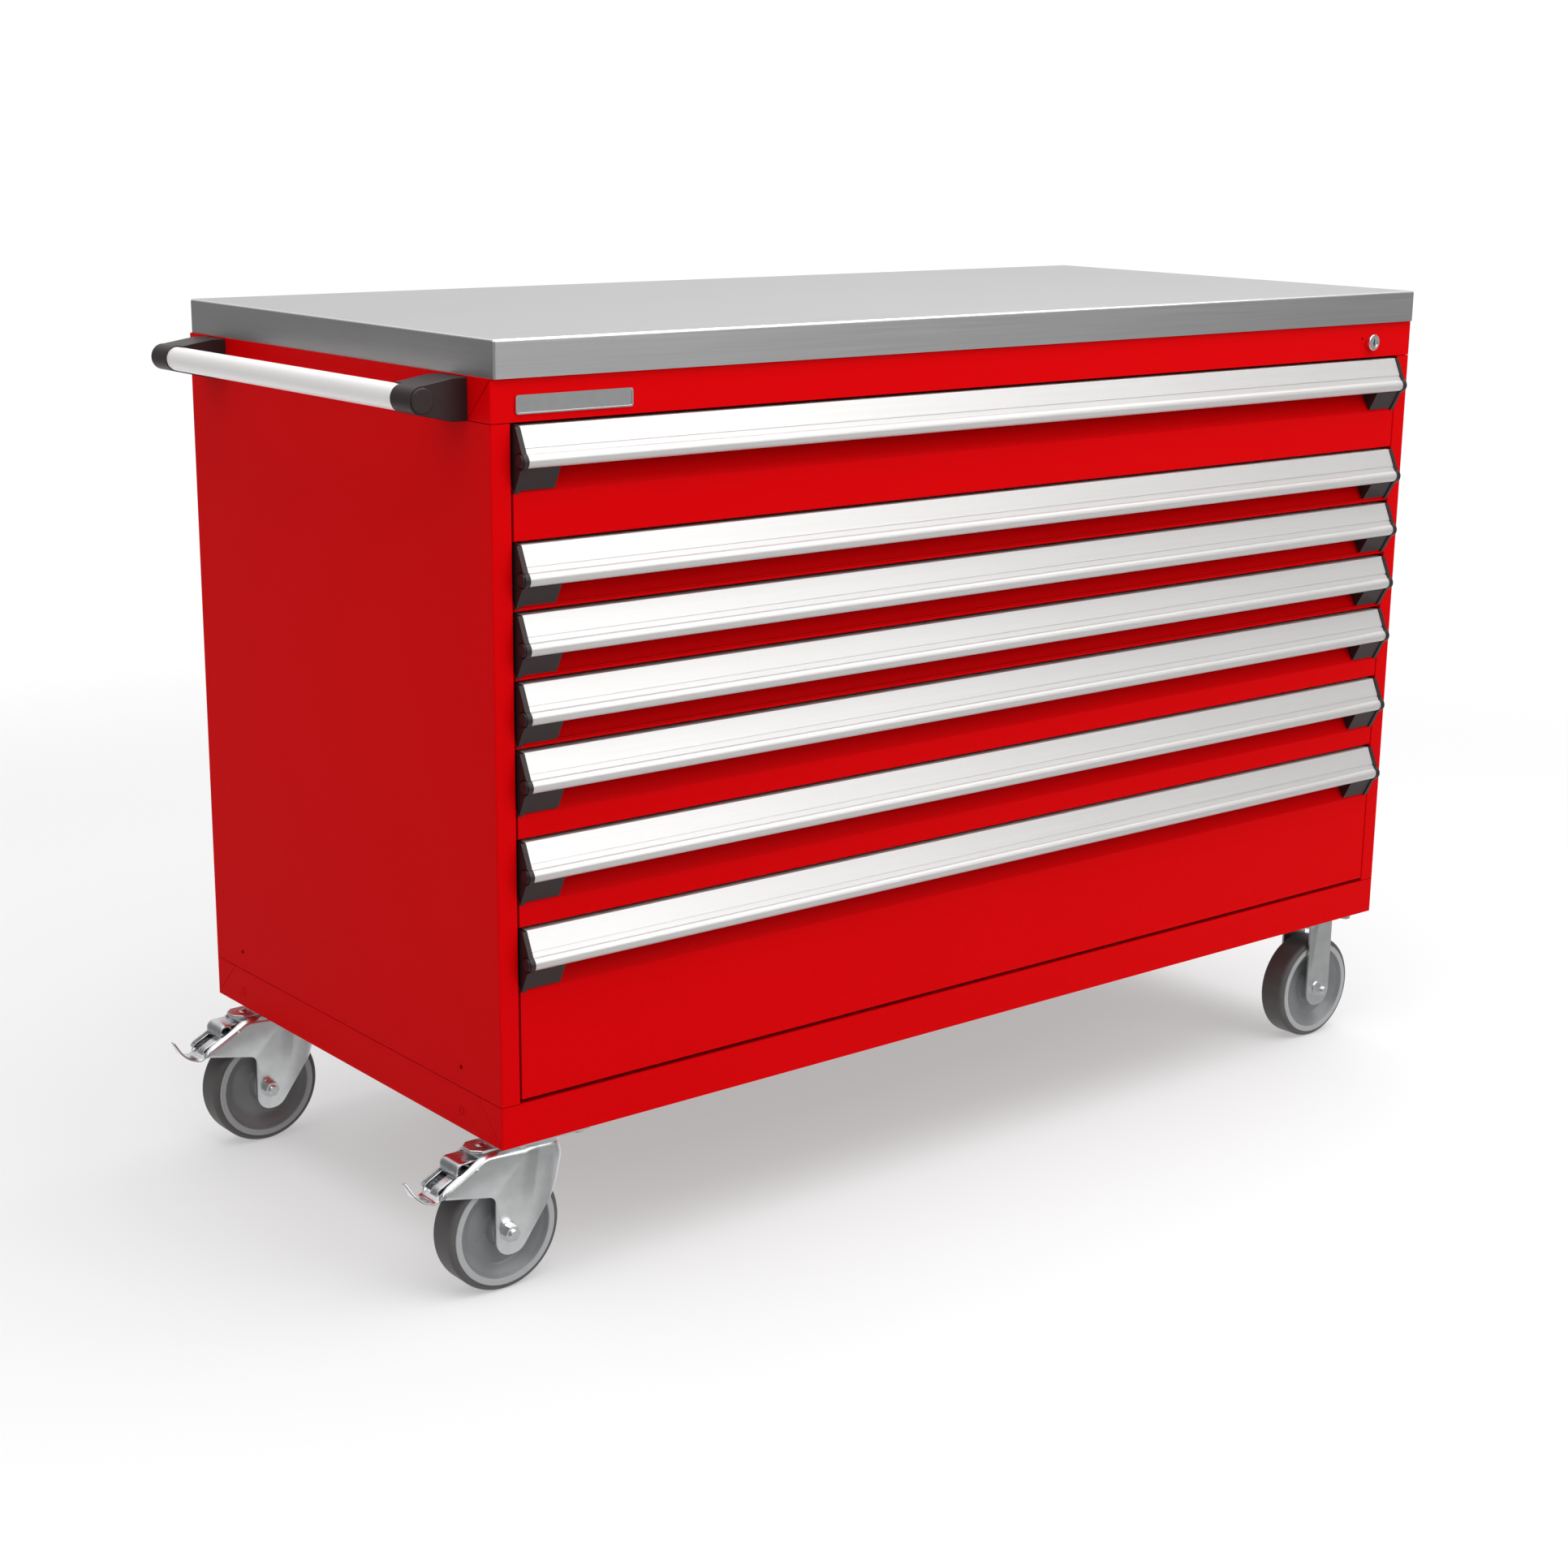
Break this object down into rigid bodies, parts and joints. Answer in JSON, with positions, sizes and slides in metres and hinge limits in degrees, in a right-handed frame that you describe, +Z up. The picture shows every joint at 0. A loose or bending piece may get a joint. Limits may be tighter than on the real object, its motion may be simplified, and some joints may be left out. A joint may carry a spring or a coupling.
{
  "type": "rolling tool chest",
  "caption": "Low wide steel tool chest on casters with full-width drawers, extruded aluminium pulls, a stainless worktop, a push handle on one end and a key lock.",
  "frame": {"origin": "on the floor, under the middle of the whole chest's box", "axes": "+X to the right of the drawers, along the chest's width, +Y from the drawers to the back, +Z up"},
  "size_m": [1.6224, 0.708, 1.0951],
  "materials": {
    "housing_paint": "semi-gloss red powder coat",
    "drawer_paint": "semi-gloss red powder coat",
    "worktop_steel": "fine brushed stainless steel",
    "worktop_wood": "raw fibreboard",
    "slide_steel": "bright zinc plate",
    "satin_aluminium": "satin anodised",
    "black_plastic": "fine moulded texture",
    "chrome": "polished",
    "badge_chrome": "satin chrome, blank",
    "caster_zinc": "bright zinc plate, slightly mottled",
    "bolt_zinc": "zinc plate",
    "wheel_plastic": "smooth moulded grey",
    "tyre_rubber": "smooth non-marking rubber"
  },
  "bodies": {
    "housing": {"left_side_panel": "housing_paint", "right_side_panel": "housing_paint", "back_panel": "housing_paint", "housing_top": "housing_paint", "base_frame": "housing_paint", "worktop_core": "worktop_wood", "worktop_skin": "worktop_steel", "fixed_slides": "slide_steel", "push_handle_tube": "satin_aluminium", "push_handle_brackets": "black_plastic", "lock_barrel": "chrome", "badge_plate": "badge_chrome", "caster_top_plates": "caster_zinc", "rigid_caster_forks": "caster_zinc", "rigid_axle_bolts": "bolt_zinc", "housing_bolts": "bolt_zinc"},
    "lock_plug": {"lock_plug": "chrome"},
    "lock_bar": {"lock_bar": "bolt_zinc"},
    "front_swivel": {"front_swivel_fork": "caster_zinc", "front_swivel_axle_bolt": "bolt_zinc"},
    "front_brake": {"front_swivel_brake_pedal": "caster_zinc"},
    "front_swivel_wheel": {"front_swivel_tyre": "tyre_rubber", "front_swivel_wheel": "wheel_plastic"},
    "front_rigid_wheel": {"front_rigid_tyre": "tyre_rubber", "front_rigid_wheel": "wheel_plastic"},
    "rear_swivel": {"rear_swivel_fork": "caster_zinc", "rear_swivel_axle_bolt": "bolt_zinc"},
    "rear_brake": {"rear_swivel_brake_pedal": "caster_zinc"},
    "rear_swivel_wheel": {"rear_swivel_tyre": "tyre_rubber", "rear_swivel_wheel": "wheel_plastic"},
    "rear_rigid_wheel": {"rear_rigid_tyre": "tyre_rubber", "rear_rigid_wheel": "wheel_plastic"},
    "drawer_1": {"drawer_1_box": "drawer_paint", "drawer_1_pull": "satin_aluminium", "drawer_1_caps": "black_plastic"},
    "carriage_1": {"drawer_1_carriage": "slide_steel"},
    "drawer_2": {"drawer_2_box": "drawer_paint", "drawer_2_pull": "satin_aluminium", "drawer_2_caps": "black_plastic"},
    "carriage_2": {"drawer_2_carriage": "slide_steel"},
    "drawer_3": {"drawer_3_box": "drawer_paint", "drawer_3_pull": "satin_aluminium", "drawer_3_caps": "black_plastic"},
    "carriage_3": {"drawer_3_carriage": "slide_steel"},
    "drawer_4": {"drawer_4_box": "drawer_paint", "drawer_4_pull": "satin_aluminium", "drawer_4_caps": "black_plastic"},
    "carriage_4": {"drawer_4_carriage": "slide_steel"},
    "drawer_5": {"drawer_5_box": "drawer_paint", "drawer_5_pull": "satin_aluminium", "drawer_5_caps": "black_plastic"},
    "carriage_5": {"drawer_5_carriage": "slide_steel"},
    "drawer_6": {"drawer_6_box": "drawer_paint", "drawer_6_pull": "satin_aluminium", "drawer_6_caps": "black_plastic"},
    "carriage_6": {"drawer_6_carriage": "slide_steel"},
    "drawer_7": {"drawer_7_box": "drawer_paint", "drawer_7_pull": "satin_aluminium", "drawer_7_caps": "black_plastic"},
    "carriage_7": {"drawer_7_carriage": "slide_steel"}
  },
  "joints": [
    {"name": "lock_turn", "type": "hinge", "parent": "housing", "child": "lock_plug", "pos_m": [0.7227, -0.3318, 1.0276], "axis": [0, 1, 0], "range_deg": [0, 90]},
    {"name": "lock_bar_lift", "type": "slide", "parent": "housing", "child": "lock_bar", "axis": [0, 0, -1], "range_m": [0, 0.008]},
    {"name": "front_swivel_turn", "type": "hinge", "parent": "housing", "child": "front_swivel", "pos_m": [-0.6391, -0.2763, 0.18], "axis": [0, 0, 1], "continuous": true},
    {"name": "front_brake_press", "type": "hinge", "parent": "front_swivel", "child": "front_brake", "pos_m": [-0.7291, -0.2763, 0.159], "axis": [0, -1, 0], "range_deg": [0, 10]},
    {"name": "front_swivel_wheel_roll", "type": "hinge", "parent": "front_swivel", "child": "front_swivel_wheel", "pos_m": [-0.6901, -0.2763, 0.075], "axis": [0, 1, 0], "continuous": true},
    {"name": "front_rigid_wheel_roll", "type": "hinge", "parent": "housing", "child": "front_rigid_wheel", "pos_m": [0.7362, -0.2763, 0.075], "axis": [0, 1, 0], "continuous": true},
    {"name": "rear_swivel_turn", "type": "hinge", "parent": "housing", "child": "rear_swivel", "pos_m": [-0.6391, 0.2985, 0.18], "axis": [0, 0, 1], "continuous": true},
    {"name": "rear_brake_press", "type": "hinge", "parent": "rear_swivel", "child": "rear_brake", "pos_m": [-0.7291, 0.2985, 0.159], "axis": [0, -1, 0], "range_deg": [0, 10]},
    {"name": "rear_swivel_wheel_roll", "type": "hinge", "parent": "rear_swivel", "child": "rear_swivel_wheel", "pos_m": [-0.6901, 0.2985, 0.075], "axis": [0, 1, 0], "continuous": true},
    {"name": "rear_rigid_wheel_roll", "type": "hinge", "parent": "housing", "child": "rear_rigid_wheel", "pos_m": [0.7362, 0.2985, 0.075], "axis": [0, 1, 0], "continuous": true},
    {"name": "drawer_1_slide", "type": "slide", "parent": "housing", "child": "drawer_1", "axis": [0, -1, 0], "range_m": [0, 0.58]},
    {"name": "carriage_1_slide", "type": "slide", "parent": "housing", "child": "carriage_1", "axis": [0, -1, 0], "range_m": [0, 0.29]},
    {"name": "drawer_2_slide", "type": "slide", "parent": "housing", "child": "drawer_2", "axis": [0, -1, 0], "range_m": [0, 0.58]},
    {"name": "carriage_2_slide", "type": "slide", "parent": "housing", "child": "carriage_2", "axis": [0, -1, 0], "range_m": [0, 0.29]},
    {"name": "drawer_3_slide", "type": "slide", "parent": "housing", "child": "drawer_3", "axis": [0, -1, 0], "range_m": [0, 0.58]},
    {"name": "carriage_3_slide", "type": "slide", "parent": "housing", "child": "carriage_3", "axis": [0, -1, 0], "range_m": [0, 0.29]},
    {"name": "drawer_4_slide", "type": "slide", "parent": "housing", "child": "drawer_4", "axis": [0, -1, 0], "range_m": [0, 0.58]},
    {"name": "carriage_4_slide", "type": "slide", "parent": "housing", "child": "carriage_4", "axis": [0, -1, 0], "range_m": [0, 0.29]},
    {"name": "drawer_5_slide", "type": "slide", "parent": "housing", "child": "drawer_5", "axis": [0, -1, 0], "range_m": [0, 0.58]},
    {"name": "carriage_5_slide", "type": "slide", "parent": "housing", "child": "carriage_5", "axis": [0, -1, 0], "range_m": [0, 0.29]},
    {"name": "drawer_6_slide", "type": "slide", "parent": "housing", "child": "drawer_6", "axis": [0, -1, 0], "range_m": [0, 0.58]},
    {"name": "carriage_6_slide", "type": "slide", "parent": "housing", "child": "carriage_6", "axis": [0, -1, 0], "range_m": [0, 0.29]},
    {"name": "drawer_7_slide", "type": "slide", "parent": "housing", "child": "drawer_7", "axis": [0, -1, 0], "range_m": [0, 0.58]},
    {"name": "carriage_7_slide", "type": "slide", "parent": "housing", "child": "carriage_7", "axis": [0, -1, 0], "range_m": [0, 0.29]}
  ],
  "couplings": [
    {"joint": "lock_turn", "follows": "lock_bar_lift", "rad_per_m": 196.3},
    {"joint": "carriage_1_slide", "follows": "drawer_1_slide", "ratio": 0.5},
    {"joint": "carriage_2_slide", "follows": "drawer_2_slide", "ratio": 0.5},
    {"joint": "carriage_3_slide", "follows": "drawer_3_slide", "ratio": 0.5},
    {"joint": "carriage_4_slide", "follows": "drawer_4_slide", "ratio": 0.5},
    {"joint": "carriage_5_slide", "follows": "drawer_5_slide", "ratio": 0.5},
    {"joint": "carriage_6_slide", "follows": "drawer_6_slide", "ratio": 0.5},
    {"joint": "carriage_7_slide", "follows": "drawer_7_slide", "ratio": 0.5}
  ]
}
